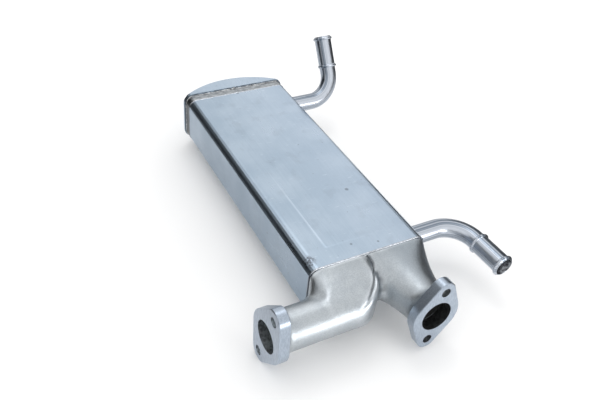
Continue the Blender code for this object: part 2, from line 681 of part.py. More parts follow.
def make_root_weld(name, root_place):
    """A fillet of weld round a coolant pipe, where it leaves the shell's side."""
    side = Matrix.Translation(root_place) @ Matrix.Rotation(math.pi / 2, 4, "Y")
    inner = PIPE_RADIUS + CLEARANCE
    hollow = ROOT_WELD_HOLLOW * ROOT_WELD
    profile = [(inner, 0), (inner + ROOT_WELD, WELD_TOE), (inner + hollow, hollow), (inner, ROOT_WELD)]
    rings = [circle(side @ Matrix.Translation((0, 0, CLEARANCE + rise)), radius, PIPE_FACETS)
             for radius, rise in profile]
    piece(name, loft(rings, ends="joined"), WELD_STEEL)


def make_welds():
    make_seam("near_weld", 0, WELD_STEEL)
    make_seam("far_shell_weld", SHELL_LENGTH, TINTED_STEEL)
    make_seam("far_tank_weld", TANK_START - WELD_WIDTH / 2 - CLEARANCE, TINTED_STEEL)
    make_root_weld("near_pipe_weld", NEAR_PIPE_ROOT)
    make_root_weld("far_pipe_weld", FAR_PIPE_ROOT)


def stand_on_base():
    """Moves the root so that the part's origin is the middle of the box's underside."""
    bpy.context.view_layer.update()
    graph = bpy.context.evaluated_depsgraph_get()
    corners = []
    for shape in bpy.data.objects:
        if shape.type == "MESH" and not shape.hide_render:
            solid = shape.evaluated_get(graph)
            corners += [shape.matrix_world @ vert.co for vert in solid.data.vertices]
    low = [min(corner[axis] for corner in corners) for axis in range(3)]
    high = [max(corner[axis] for corner in corners) for axis in range(3)]
    root.location = (-(low[0] + high[0]) / 2, -(low[1] + high[1]) / 2, -low[2])


for shape in list(bpy.data.objects):
    bpy.data.objects.remove(shape)
root = bpy.data.objects.new("egr_cooler", None)
bpy.context.collection.objects.link(root)
make_shell()
make_near_header()
make_far_header()
make_tubes()
make_fins()
make_supports()
make_tank()
make_manifold()
make_pipes()
make_welds()
stand_on_base()
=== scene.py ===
import math

import bmesh
import bpy
from mathutils import Matrix, Vector, geometry, noise


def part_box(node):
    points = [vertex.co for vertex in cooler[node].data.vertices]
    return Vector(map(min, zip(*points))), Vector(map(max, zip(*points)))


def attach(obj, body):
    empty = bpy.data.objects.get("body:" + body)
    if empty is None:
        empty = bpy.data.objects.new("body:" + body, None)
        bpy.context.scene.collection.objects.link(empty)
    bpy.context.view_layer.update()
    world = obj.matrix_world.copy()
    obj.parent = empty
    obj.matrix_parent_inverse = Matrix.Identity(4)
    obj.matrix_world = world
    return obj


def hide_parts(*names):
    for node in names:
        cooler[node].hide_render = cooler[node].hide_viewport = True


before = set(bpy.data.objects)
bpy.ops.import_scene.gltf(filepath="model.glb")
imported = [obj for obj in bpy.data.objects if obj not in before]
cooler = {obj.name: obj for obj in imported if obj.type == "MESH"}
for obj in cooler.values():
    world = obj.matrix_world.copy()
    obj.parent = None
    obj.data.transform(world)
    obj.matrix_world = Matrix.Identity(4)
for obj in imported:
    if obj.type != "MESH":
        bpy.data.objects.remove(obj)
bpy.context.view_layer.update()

# Shell
# The housing of the core: satin stainless sheet, folded round its four long edges, with one shallow
# panel pressed into its broad top. Rolling left a fine lengthwise grain, handling a few dull marks
# and light scratches, and the near weld a small burn at the left corner.
shell_low, shell_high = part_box("shell")
dull_sheet_colour = (0.355, 0.44, 0.53)
bright_sheet_colour = (0.43, 0.515, 0.605)
# Painted shade: the sheet is darkened towards this colour along the shell's left side.
painted_shade_left_side_colour = (0.16, 0.21, 0.27)
# Painted light: the sheet grows lighter and bluer towards its right side.
painted_light_right_colour = (0.60, 0.70, 0.85)
stain_colour = (0.16, 0.18, 0.21)
# Light colour of the real scratches, also used for the painted highlights along the panel's fold.
scratch_and_highlight_colour = (0.80, 0.86, 0.93)
cloud_size = 0.05
grain_width = 0.0009
speck_size = 0.0032
smear_size = 0.016
scratch_width = 0.0016
handling_marks = (((0.01445, -0.0419), 0.0026), ((-0.02195, -0.1109), 0.0017),
                  ((0.00275, -0.1171), 0.0015), ((-0.01355, 0.1600), 0.0022))
corner_burn = (-0.0675, -0.1150)
corner_burn_size = 0.009
corner_burn_grain = 0.0022
panel_depth = 0.0002
# Each soft edge is given by its axis, the places where it starts and ends, and its shares there.
panel_edges = (("X", shell_low.x + 0.0255, shell_low.x + 0.0285, 0.0, 1.0),
               ("X", shell_high.x - 0.050, shell_high.x - 0.020, 1.0, 0.0),
               ("Y", shell_low.y + 0.0185, shell_low.y + 0.0215, 0.0, 1.0),
               ("Y", shell_low.y + 0.09, shell_low.y + 0.16, 1.0, 0.0))
# Painted highlights along the pressed panel's fold, in the scratches' light colour.
painted_highlight_fold_edges = (("X", shell_low.x + 0.0258, shell_low.x + 0.0267, 0.0, 0.15),
                     ("X", shell_low.x + 0.0273, shell_low.x + 0.0282, 1.0, 0.0),
                     ("Y", shell_low.y + 0.024, shell_low.y + 0.030, 0.0, 1.0),
                     ("Y", shell_low.y + 0.08, shell_low.y + 0.15, 1.0, 0.0))
# Where the painted shade on the left side lies.
painted_shade_left_side_edge = ("X", shell_low.x + 0.001, shell_low.x + 0.004, 0.35, 0.0)
# Where the painted light towards the right lies.
painted_light_right_edge = ("X", shell_low.x, shell_high.x, 0.0, 0.22)


def new_finish(name, metallic, roughness):
    """A new material, its node tree and its shader."""
    made = bpy.data.materials.new(name)
    made.use_nodes = True
    shader = made.node_tree.nodes["Principled BSDF"]
    shader.inputs["Metallic"].default_value = metallic
    shader.inputs["Roughness"].default_value = roughness
    return made, made.node_tree, shader


def add_node(tree, kind, links=(), **settings):
    """One node with its settings; each input is linked to an output or set to a value."""
    made = tree.nodes.new(kind)
    for name, value in settings.items():
        setattr(made, name, value)
    for socket, value in links:
        if isinstance(value, bpy.types.NodeSocket):
            tree.links.new(value, made.inputs[socket])
        else:
            made.inputs[socket].default_value = value
    return made


def calculate(tree, operation, first, second):
    """What comes of one sum with two values."""
    return add_node(tree, "ShaderNodeMath", ((0, first), (1, second)), operation=operation).outputs[0]


def place_on_cooler(tree):
    """The place of each point of the cooler, in metres."""
    return add_node(tree, "ShaderNodeTexCoord").outputs["Object"]


def mottling(tree, spread, detail=3.0, stretch=(1, 1, 1)):
    """A cloudy pattern about 0.5, whose patches are about the given spread across, in metres."""
    sizes = [1 / (spread * part) for part in stretch]
    scaled = add_node(tree, "ShaderNodeMapping", (("Vector", place_on_cooler(tree)), ("Scale", sizes)))
    cloud = add_node(tree, "ShaderNodeTexNoise", (("Vector", scaled.outputs[0]), ("Scale", 1.0),
                                                  ("Detail", detail), ("Roughness", 0.55)))
    return cloud.outputs["Fac"]


def carry(tree, value, low, high, start=0.0, stop=1.0):
    """Carries a value smoothly from one range to another and holds it within that."""
    return add_node(tree, "ShaderNodeMapRange",
                    ((0, value), (1, low), (2, high), (3, start), (4, stop)),
                    interpolation_type="SMOOTHSTEP").outputs[0]


def fade(tree, *edges):
    """A share that changes over one or more soft edges on the cooler."""
    axes = add_node(tree, "ShaderNodeSeparateXYZ", ((0, place_on_cooler(tree)),)).outputs
    share = 1.0
    for axis, low, high, before, after in edges:
        share = calculate(tree, "MULTIPLY", share, carry(tree, axes[axis], low, high, before, after))
    return share


def blend_colours(tree, share, first, second):
    """Mixes two colours by a share from 0 to 1."""
    mix = add_node(tree, "ShaderNodeMix", data_type="RGBA")
    for socket, value in ((0, share), (6, first), (7, second)):
        if isinstance(value, bpy.types.NodeSocket):
            tree.links.new(value, mix.inputs[socket])
        else:
            mix.inputs[socket].default_value = (*value, 1)
    return mix.outputs[2]


def two_tones(tree, pattern, low, high, dark, light):
    """Colours a pattern from dark, below its low value, to light, above its high one."""
    return blend_colours(tree, carry(tree, pattern, low, high), dark, light)


def raise_surface(tree, shader, height, depth):
    """Lets a pattern of heights stand out of the surface by a depth in metres."""
    bump = add_node(tree, "ShaderNodeBump", (("Height", height), ("Distance", depth), ("Strength", 1.0)))
    tree.links.new(bump.outputs[0], shader.inputs["Normal"])


def round_mark(tree, spot, size):
    """1 at a spot on the broad top, fading to 0 at the mark's size from it."""
    away = add_node(tree, "ShaderNodeVectorMath",
                    ((0, place_on_cooler(tree)), (1, (*spot, shell_high.z))), operation="DISTANCE")
    return carry(tree, away.outputs["Value"], 0.4 * size, size, 1.0, 0.0)


sheet, tree, shader = new_finish("satin_sheet", 1.0, 0.3)
cloud = mottling(tree, cloud_size, 5)
grain = mottling(tree, grain_width, 2, (1, 50, 1))
tone = calculate(tree, "ADD", calculate(tree, "MULTIPLY", cloud, 0.75),
                 calculate(tree, "MULTIPLY", grain, 0.25))
specks = carry(tree, mottling(tree, speck_size, 3), 0.68, 0.74, 0.0, 0.5)
smears = carry(tree, mottling(tree, smear_size, 6), 0.54, 0.72, 0.0, 0.12)
burn = calculate(tree, "MULTIPLY", round_mark(tree, corner_burn, corner_burn_size),
                 carry(tree, mottling(tree, corner_burn_grain, 3), 0.42, 0.56))
stains = calculate(tree, "MAXIMUM", calculate(tree, "MAXIMUM", specks, smears), burn)
for spot, size in handling_marks:
    mark = calculate(tree, "MULTIPLY", round_mark(tree, spot, size), 0.65)
    stains = calculate(tree, "MAXIMUM", stains, mark)
scratches = carry(tree, mottling(tree, scratch_width, 3, (7, 1, 1)), 0.65, 0.73, 0.0, 0.3)
colour = two_tones(tree, tone, 0.36, 0.64, dull_sheet_colour, bright_sheet_colour)
# On the tone: painted shade left, painted light right, stains, scratches, painted fold highlights.
for share, tint in ((fade(tree, painted_shade_left_side_edge), painted_shade_left_side_colour),
                    (fade(tree, painted_light_right_edge), painted_light_right_colour),
                    (stains, stain_colour), (scratches, scratch_and_highlight_colour),
                    (fade(tree, *painted_highlight_fold_edges), scratch_and_highlight_colour)):
    colour = blend_colours(tree, share, colour, tint)
tree.links.new(colour, shader.inputs["Base Color"])
tree.links.new(carry(tree, tone, 0.3, 0.7, 0.33, 0.27), shader.inputs["Roughness"])
raise_surface(tree, shader, calculate(tree, "ADD", fade(tree, *panel_edges),
                                      calculate(tree, "MULTIPLY", cloud, 0.25)), panel_depth)
cooler["shell"].material_slots[0].material = sheet

# Inner plates, tubes and fins
# The heat exchanger inside the shell: slotted header and support plates, flat tubes pushed through
# them and one corrugated fin in each tube. All are thin stainless sheet, joined in one pass through
# the brazing furnace and dulled by it and by exhaust soot.
sooted_sheet_colour = (0.09, 0.085, 0.08)
brazed_sheet_colour = (0.2, 0.195, 0.19)
soot_patch_size = 0.01
brazed, tree, shader = new_finish("brazed_sheet", 0.8, 0.55)
colour = two_tones(tree, mottling(tree, soot_patch_size), 0.35, 0.65,
                   sooted_sheet_colour, brazed_sheet_colour)
tree.links.new(colour, shader.inputs["Base Color"])
for name in cooler:
    if name.startswith(("near_header", "tube_support", "gas_tube", "gas_fin")):
        cooler[name].material_slots[0].material = brazed

# Far header
# The pressed pan that the far ends of the tubes pass through. Its rim shows as a band between the shell
# and the return tank, and the two welds beside it have tinted it in uneven greys. Towards its left end
# the band is darkened further by painted shade.
header_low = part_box("far_header")[0]
dark_band_colour = (0.24, 0.255, 0.27)
light_band_colour = (0.43, 0.45, 0.465)
# Painted shade: the band darkens towards this colour at its left end.
painted_shade_left_end_colour = (0.05, 0.052, 0.055)
painted_shade_left_end_edge = ("X", header_low.x + 0.002, header_low.x + 0.008, 0.75, 0.0)
band_patch_size = 0.004
band_grain = 0.0018
band_grain_depth = 0.00025
tinted, tree, shader = new_finish("heat_tinted_sheet", 1.0, 0.38)
colour = two_tones(tree, mottling(tree, band_patch_size, 5, (1.6, 0.5, 1)), 0.38, 0.62,
                   dark_band_colour, light_band_colour)
colour = blend_colours(tree, fade(tree, painted_shade_left_end_edge), colour, painted_shade_left_end_colour)
tree.links.new(colour, shader.inputs["Base Color"])
raise_surface(tree, shader, mottling(tree, band_grain, 3), band_grain_depth)
cooler["far_header"].material_slots[0].material = tinted

# Return tank
# A deep-drawn stainless cap, welded on over the far header, in which the gas turns back. Drawing
# left it as smooth as the shell, so it has the shell's finish.
cooler["end_cap"].material_slots[0].material = sheet

# Gas manifold
# One hollow steel casting with both gas branches, blended by wide fillets as the mould leaves them
# and blasted matt. Its two flanges are milled flat as sealing faces and drilled for two bolts each,
# and the passages inside are dark with scale.
voxel = 0.001
fine_voxel = 0.0008
fillet = 0.005
weld_side = -0.12629
weld_margin = 0.0015
weld_face_margin = 0.0012
axis_height = (shell_low.z + shell_high.z) / 2
left_lean = 20.1
right_lean = 10.9
right_tip = 4
left_port = (Matrix.Translation((-0.12555, -0.15519, 0.04029))
             @ Matrix.Rotation(math.radians(-90), 4, "Y")
             @ Matrix.Rotation(math.radians(-left_lean), 4, "Z"))
right_port = (Matrix.Translation((0.01785, -0.19418, 0.04029))
              @ Matrix.Rotation(math.radians(90 - right_tip), 4, "X")
              @ Matrix.Rotation(math.radians(90 - right_lean), 4, "Z"))
flange_thickness = 0.010
flange_edge = 0.0006
# Each flange has its port, its belly's and its bosses' radii, the bolts' reach and the bore's radius.
flanges = ((left_port, 0.0238, 0.01099, 0.0312, 0.0146), (right_port, 0.0235, 0.0100, 0.0259, 0.0150))
bore_depth = 0.013
bolt_depth = 0.014
bolt_radius = 0.0045
drill_overrun = 0.004
branch_cut = 0.0004 - flange_thickness
branch_stub = 0.004
branch_end = 0.002 - flange_thickness
cut_tolerance = 0.0001
# The web fills the corner between the left branch and the shell. Each of its corners has its height
# above or below the cooler's middle.
web_corners = ((-0.0718, -0.1275, 0.0180), (-0.0706, -0.1275, 0.0222), (-0.0674, -0.1275, 0.0255),
               (-0.0645, -0.1275, 0.0263), (-0.0680, -0.1275, 0.0160), (-0.0714, -0.1420, 0.0150),
               (-0.0702, -0.1440, 0.0185), (-0.0670, -0.1460, 0.0205), (-0.0790, -0.1400, 0.0105),
               (-0.0770, -0.1380, 0.0085))
# The groove between the two branches, as a path seen from above. It fades out towards its front end
# and towards the cooler's middle height.
groove = [Vector(place) for place in ((-0.0172, -0.1240), (-0.0157, -0.1266), (-0.0132, -0.1302),
                                      (-0.0123, -0.1345), (-0.0140, -0.1395), (-0.0171, -0.1442),
                                      (-0.0209, -0.1514), (-0.0251, -0.1568), (-0.0311, -0.1627),
                                      (-0.0367, -0.1675), (-0.0426, -0.1698))]
groove_depth = 0.0014
groove_half_width = 0.0013
groove_front = -0.1715
groove_fade = 0.008
groove_full_height = 0.0125
# Parts of the casting, each from its left to its right and from its near to its far limit.
straight_branch = (-0.010, math.inf, -0.184, -0.131)
between_branches = (-0.045, 0.012, -0.172, math.inf)
left_shoulder = (-math.inf, -0.050, -0.152, math.inf)
# Relief is measured from the evened skin. Its depth spans from the deepest hollow to the highest
# ridge that the colours tell apart.
relief_depth = 0.0016
flange_relief_depth = 0.0040
left_flange_foot = -0.108
right_flange_foot = -0.176
# The straight branch is darker on its right side, from these places on: painted shade.
dark_side_left = 0.005
dark_side_near = -0.183
cast_patch_size = 0.012
cast_sheen_size = 0.004
cast_grain = 0.0008
cast_grain_depth = 0.00017
dull_cast_colour = (0.43, 0.465, 0.495)
bright_cast_colour = (0.48, 0.515, 0.54)
pit_size = 0.0011
pit_colour = (0.30, 0.33, 0.36)
# Painted shade in the hollows of the skin.
painted_shade_hollow_colour = (0.07, 0.075, 0.085)
# Painted highlights on the ridges of the skin.
painted_highlight_ridge_colour = (0.72, 0.76, 0.80)
# Painted shade darkens the casting's flat crown.
painted_shade_crown_colour = (0.33, 0.36, 0.375)
painted_shade_crown_edge = ("Z", 0.0640, 0.0668, 0.0, 0.3)
# Painted shade darkens the upper right part of the casting.
painted_shade_right_top_colour = (0.25, 0.30, 0.355)
painted_shade_right_top_edges = (("X", -0.016, 0.03, 0.0, 0.45), ("Z", 0.054, 0.065, 0.0, 1.0))
# Painted shade on the straight branch's right side.
painted_shade_side_colour = (0.12, 0.13, 0.15)
mill_mark_width = 0.0009
milled_grain = 0.0008
milled_grain_depth = 0.00004
dull_milled_colour = (0.345, 0.40, 0.475)
bright_milled_colour = (0.435, 0.495, 0.57)
# The right port is the sootier of the two, inside its passage and on the bore's wall.
scale_patch_size = 0.004
dark_scale_colour = (0.17, 0.175, 0.18)
light_scale_colour = (0.34, 0.355, 0.36)
passage_soot_edge = ("X", -0.030, 0.0, 0.0, 0.75)
passage_soot_colour = (0.05, 0.045, 0.045)
bore_patch_size = 0.003
dull_bore_colour = (0.42, 0.45, 0.47)
bright_bore_colour = (0.75, 0.79, 0.82)
bore_soot_edge = ("X", -0.030, 0.0, 0.0, 0.6)
bore_soot_colour = (0.12, 0.12, 0.125)
cast_skin, milled_skin, passage_skin, bore_skin = range(4)


def place_object(name, shape, finishes=()):
    """Turns a shape into an object with its finishes."""
    mesh = bpy.data.meshes.new(name)
    shape.to_mesh(mesh)
    shape.free()
    for finish in finishes:
        mesh.materials.append(finish)
    made = bpy.data.objects.new(name, mesh)
    bpy.context.scene.collection.objects.link(made)
    return made


def settle(name, shape, finishes, sharp):
    """Makes a piece of a shape, sharp at edges over an angle in degrees, and lets it ride on the
    cooler's one body."""
    made = place_object(name, shape, finishes)
    made.data.shade_smooth()
    made.data.set_sharp_from_angle(angle=math.radians(sharp))
    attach(made, "root")
    return made


def with_modifiers(shape, finishes, *steps):
    """The shape after modifiers, given as a kind and its settings, have worked on it."""
    raw = place_object("raw", shape, finishes)
    for kind, settings in steps:
        modifier = raw.modifiers.new("step", kind)
        for name, value in settings.items():
            setattr(modifier, name, value)
    solid = raw.evaluated_get(bpy.context.evaluated_depsgraph_get())
    done = bmesh.new()
    done.from_mesh(bpy.data.meshes.new_from_object(solid))
    bpy.data.objects.remove(raw)
    return done


def cut_tool(shape, skin):
    """A shape as an object for one Boolean modifier, which leaves the given skin."""
    for face in shape.faces:
        face.material_index = skin
    return place_object("tool", shape)


def smooth(shape, verts, times):
    """Evens out a part of a shape."""
    for _ in range(times):
        bmesh.ops.smooth_vert(shape, verts=verts, factor=0.5, use_axis_x=True, use_axis_y=True,
                              use_axis_z=True)


def part_of(verts, left, right, near, far):
    """Those verts that lie within a part's limits."""
    return [vert for vert in verts if left < vert.co.x < right and near < vert.co.y < far]


def wrap(shape):
    """Draws a tight skin round all the points of a shape."""
    hull = bmesh.ops.convex_hull(shape, input=shape.verts)
    bmesh.ops.delete(shape, geom=list(set(hull["geom_interior"] + hull["geom_unused"])), context="VERTS")


def cut_off(shape, port, depth):
    """Cuts a branch off square to its port's axis, at a depth, and closes the cut."""
    outward = port.col[2].xyz
    cut = bmesh.ops.bisect_plane(shape, geom=shape.verts[:] + shape.edges[:] + shape.faces[:],
                                 plane_co=port @ Vector((0, 0, depth)), plane_no=outward,
                                 clear_outer=True)["geom_cut"]
    rims = [item for item in cut if isinstance(item, bmesh.types.BMEdge)]
    bmesh.ops.triangle_fill(shape, use_beauty=True, use_dissolve=False, normal=outward, edges=rims)


def on_cut(face, port, depth):
    """Whether a face lies in the flat cut across a branch, at a depth."""
    outward = port.col[2].xyz
    away = (face.calc_center_median() - port @ Vector((0, 0, depth))).dot(outward)
    return abs(away) < cut_tolerance and face.normal.dot(outward) > 0.9


def drill(port, place, radius, depth):
    """A round bar along a port's axis, from a depth to just outside its face."""
    bar = bmesh.new()
    middle = port @ Matrix.Translation((place, 0, (drill_overrun - depth) / 2))
    bmesh.ops.create_cone(bar, cap_ends=True, segments=64, radius1=radius, radius2=radius,
                          depth=drill_overrun + depth, matrix=middle)
    return bar


def flange(port, belly, boss, reach):
    """Two bolt bosses and a round belly joined by straight sides, with a small bevel all round."""
    plate = bmesh.new()
    for place, radius in ((-reach, boss), (0, belly), (reach, boss)):
        for depth in (-flange_thickness, 0):
            bmesh.ops.create_circle(plate, segments=96, radius=radius,
                                    matrix=port @ Matrix.Translation((place, 0, depth)))
    wrap(plate)
    bmesh.ops.dissolve_limit(plate, angle_limit=math.radians(0.5), verts=plate.verts, edges=plate.edges)
    rims = [edge for edge in plate.edges if edge.calc_face_angle(0) > math.radians(60)]
    bmesh.ops.bevel(plate, geom=rims, affect="EDGES", offset=flange_edge, segments=1, profile=0.5,
                    material=-1)
    return plate


def off_groove(place):
    """How far a place, seen from above, is from the groove's path."""
    away = []
    for first, last in zip(groove, groove[1:]):
        nearest, share = geometry.intersect_point_line(place, first, last)
        away.append((place - (nearest if 0 < share < 1 else last)).length)
    return min(away)


cast, tree, shader = new_finish("blasted_casting", 1.0, 0.4)
relief = add_node(tree, "ShaderNodeAttribute", attribute_name="relief").outputs["Fac"]
dark_side = add_node(tree, "ShaderNodeAttribute", attribute_name="dark_side").outputs["Fac"]
colour = two_tones(tree, mottling(tree, cast_patch_size, 5), 0.36, 0.64,
                   dull_cast_colour, bright_cast_colour)
# Real pits, painted shade in hollows, on the crown and the right, and painted highlights on ridges.
for share, tint in ((carry(tree, mottling(tree, pit_size, 2), 0.38, 0.62, 0.0, 0.38), pit_colour),
                    (carry(tree, relief, 0.52, 0.95, 0.0, 0.7), painted_shade_hollow_colour),
                    (carry(tree, relief, 0.48, 0.25, 0.0, 0.6), painted_highlight_ridge_colour),
                    (fade(tree, painted_shade_crown_edge), painted_shade_crown_colour),
                    (fade(tree, *painted_shade_right_top_edges), painted_shade_right_top_colour),
                    (calculate(tree, "MULTIPLY", dark_side, 0.6), painted_shade_side_colour)):
    colour = blend_colours(tree, share, colour, tint)
tree.links.new(colour, shader.inputs["Base Color"])
sheen = carry(tree, mottling(tree, cast_sheen_size, 4), 0.35, 0.65, 0.33, 0.42)
tree.links.new(sheen, shader.inputs["Roughness"])
raise_surface(tree, shader, mottling(tree, cast_grain, 3), cast_grain_depth)

milled, tree, shader = new_finish("milled_face", 1.0, 0.34)
colour = two_tones(tree, mottling(tree, mill_mark_width, 3, (1, 1, 5)), 0.36, 0.64,
                   dull_milled_colour, bright_milled_colour)
tree.links.new(colour, shader.inputs["Base Color"])
raise_surface(tree, shader, mottling(tree, milled_grain, 2), milled_grain_depth)

scaled, tree, shader = new_finish("scaled_passage", 0.6, 0.45)
colour = two_tones(tree, mottling(tree, scale_patch_size, 4), 0.36, 0.64,
                   dark_scale_colour, light_scale_colour)
colour = blend_colours(tree, fade(tree, passage_soot_edge), colour, passage_soot_colour)
tree.links.new(colour, shader.inputs["Base Color"])

sooty, tree, shader = new_finish("sooty_bore", 1.0, 0.32)
colour = two_tones(tree, mottling(tree, bore_patch_size, 4), 0.38, 0.62,
                   dull_bore_colour, bright_bore_colour)
colour = blend_colours(tree, fade(tree, bore_soot_edge), colour, bore_soot_colour)
tree.links.new(colour, shader.inputs["Base Color"])

# The solid's flanges come off, its branches are drawn out a little, and the web goes in. Swollen and
# shrunk again by the fillet's size, the whole then has its inner corners filled.
block = bmesh.new()
block.from_mesh(cooler["gas_manifold"].data)
bmesh.ops.remove_doubles(block, verts=block.verts, dist=0.000005)
for port in (left_port, right_port):
    cut_off(block, port, branch_cut)
    ends = [face for face in block.faces if on_cut(face, port, branch_cut)]
    drawn_out = bmesh.ops.extrude_face_region(block, geom=ends)["geom"]
    bmesh.ops.delete(block, geom=ends, context="FACES")
    bmesh.ops.translate(block, verts=[item for item in drawn_out if isinstance(item, bmesh.types.BMVert)],
                        vec=branch_stub * port.col[2].xyz)
web = bmesh.new()
for side in (-1, 1):
    for across, along, above in web_corners:
        web.verts.new((across, along, axis_height + side * above))
wrap(web)
web_mesh = bpy.data.meshes.new("web")
web.to_mesh(web_mesh)
web.free()
block.from_mesh(web_mesh)
casting = with_modifiers(block, (cast,),
                         ("REMESH", {"mode": "VOXEL", "voxel_size": voxel}),
                         ("DISPLACE", {"strength": fillet, "mid_level": 0}),
                         ("REMESH", {"mode": "VOXEL", "voxel_size": voxel}),
                         ("DISPLACE", {"strength": -fillet, "mid_level": 0}),
                         ("REMESH", {"mode": "VOXEL", "voxel_size": fine_voxel}))

# The skin is evened out, most of all on the straight branch and the left shoulder, and the groove is
# sunk between the branches.
free = [vert for vert in casting.verts if vert.co.y < weld_side - weld_margin]
smooth(casting, free, 10)
smooth(casting, part_of(free, *straight_branch), 60)
valley = part_of(free, *between_branches)
smooth(casting, valley, 8)
casting.normal_update()
for vert in valley:
    upright = min(1, abs(vert.co.z - axis_height) / groove_full_height) ** 4
    share = upright * min(1, max(0, (vert.co.y - groove_front) / groove_fade))
    profile = math.exp(-(off_groove(vert.co.xy) / groove_half_width) ** 2)
    vert.co -= vert.normal * share * groove_depth * profile
smooth(casting, valley, 1)
left, right, near, far = left_shoulder
for inset, times in ((0.0, 30), (0.003, 40), (0.006, 60)):
    smooth(casting, part_of(free, left, right - inset, near + inset, far), times)

# Both branches end inside their new flanges. From its lowest face the outer skin is followed round
# to the flat cuts, and what it doesn't reach is passage.
for port in (left_port, right_port):
    cut_off(casting, port, branch_end)
bmesh.ops.recalc_face_normals(casting, faces=casting.faces)
for face in casting.faces:
    at_shell = face.calc_center_median().y > weld_side - weld_face_margin and face.normal.y > 0.6
    at_flange = on_cut(face, left_port, branch_end) or on_cut(face, right_port, branch_end)
    face.material_index = cast_skin if at_shell or at_flange else passage_skin
reached = [min(casting.faces, key=lambda face: face.calc_center_median().z)]
while reached:
    face = reached.pop()
    face.material_index = cast_skin
    reached += [near for edge in face.edges for near in edge.link_faces
                if near.material_index == passage_skin]

# The flanges are joined on, and the bores and bolt holes are drilled.
tools = []
for port, belly, boss, reach, bore in flanges:
    tools.append(("UNION", cut_tool(flange(port, belly, boss, reach), milled_skin)))
    tools.append(("DIFFERENCE", cut_tool(drill(port, 0, bore, bore_depth), bore_skin)))
    for side in (-1, 1):
        bolt_hole = drill(port, side * reach, bolt_radius, bolt_depth)
        tools.append(("DIFFERENCE", cut_tool(bolt_hole, bore_skin)))
steps = [("BOOLEAN", {"operation": operation, "solver": "MANIFOLD", "object": tool})
         for operation, tool in tools]
casting = with_modifiers(casting, (cast, milled, scaled, sooty), *steps)
for operation, tool in tools:
    bpy.data.objects.remove(tool)

# Each point's relief is 0.5 on even skin, more in a hollow and less on a ridge.
# The finish paints shade into the hollows and highlights onto the ridges by this relief.
relief = casting.verts.layers.float.new("relief")
softened = casting.copy()
smooth(softened, softened.verts, 40)
casting.normal_update()
for vert, soft in zip(casting.verts, softened.verts):
    at_flange = vert.co.x < left_flange_foot or vert.co.y < right_flange_foot
    depth = flange_relief_depth if at_flange else relief_depth
    vert[relief] = min(1, max(0, 0.5 + (soft.co - vert.co).dot(vert.normal) / depth))
softened.free()
# The dark_side share places painted shade on faces turned to the right.
dark_side = casting.verts.layers.float.new("dark_side")
for vert in casting.verts:
    if vert.co.x > dark_side_left and vert.co.y > dark_side_near:
        vert[dark_side] = min(1, max(0, (vert.normal.x - 0.2) / 0.4))
manifold = settle("cast_manifold", casting, (cast, milled, scaled, sooty), sharp=32)
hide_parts("gas_manifold")

# Coolant pipes
# Two drawn stainless tubes, bent cold and beaded near their ends so that a clamped hose stays on.
# Each stands in a hole in the shell's right side. Drawing left fine lines along them.
pipe_radius = 0.0095
pipe_wall = 0.0012
pipe_sides = 48
bend_radius = 0.030
bend_steps = 32
root_depth = 0.0025
spigot_radius = 0.0098
mouth_radius = spigot_radius - pipe_wall
mouth_depth = 0.0350
mouth_step = 0.0020
lip_edge = 0.0003
bead_radius = 0.0113
bead_length = 0.0036
bead_steps = 12
beads_from_end = (0.0355, 0.0026)
near_pipe_root = Vector((0.04785, -0.10129, 0.04029))
far_pipe_root = Vector((0.04785, 0.14561, 0.04559))
far_pipe_lean = math.radians(31.7)
tube_sheen_size = 0.0025
mouth_patch_size = 0.003
dark_line_colour = (0.21, 0.25, 0.305)
bright_line_colour = (0.56, 0.60, 0.66)
# Painted shade: the inside of each tube is coloured dark.
dark_mouth_colour = (0.08, 0.08, 0.09)
light_mouth_colour = (0.28, 0.30, 0.32)

drawn, tree, shader = new_finish("drawn_tube", 1.0, 0.22)
around = add_node(tree, "ShaderNodeAttribute", attribute_name="around").outputs["Vector"]
lines = add_node(tree, "ShaderNodeTexNoise", (("Vector", around), ("Scale", 2.6), ("Detail", 4.0),
                                              ("Roughness", 0.65))).outputs["Fac"]
colour = two_tones(tree, lines, 0.41, 0.57, dark_line_colour, bright_line_colour)
tree.links.new(colour, shader.inputs["Base Color"])
sheen = carry(tree, mottling(tree, tube_sheen_size, 3), 0.35, 0.65, 0.28, 0.35)
tree.links.new(sheen, shader.inputs["Roughness"])

# The tubes' inside, darkened as painted shade.
painted_shade_tube_bore, tree, shader = new_finish("painted_shade_tube_bore", 1.0, 0.25)
colour = two_tones(tree, mottling(tree, mouth_patch_size, 4), 0.36, 0.64,
                   dark_mouth_colour, light_mouth_colour)
tree.links.new(colour, shader.inputs["Base Color"])


def draw_out(shape, rim, step, radius=None):
    """Draws a round rim of edges on by a step, to a new radius, and returns the new rim."""
    made = bmesh.ops.extrude_edge_only(shape, edges=rim)["geom"]
    verts = [item for item in made if isinstance(item, bmesh.types.BMVert)]
    bmesh.ops.translate(shape, verts=verts, vec=step)
    if radius:
        middle = sum((vert.co for vert in verts), Vector()) / len(verts)
        growth = radius / (verts[0].co - middle).length
        bmesh.ops.scale(shape, verts=verts, vec=(growth, growth, growth),
                        space=Matrix.Translation(-middle))
    fresh = set(verts)
    return [item for item in made
            if isinstance(item, bmesh.types.BMEdge) and fresh.issuperset(item.verts)]


def bend_round(shape, rim, centre, axis, angle):
    """Bends a rim of edges on round a centre and returns the new rim."""
    verts = list({vert for edge in rim for vert in edge.verts})
    last = bmesh.ops.spin(shape, geom=verts + rim, cent=centre, axis=axis, dvec=(0, 0, 0), angle=angle,
                          steps=bend_steps, use_merge=False, use_normal_flip=False,
                          use_duplicate=False)["geom_last"]
    return [item for item in last if isinstance(item, bmesh.types.BMEdge)]


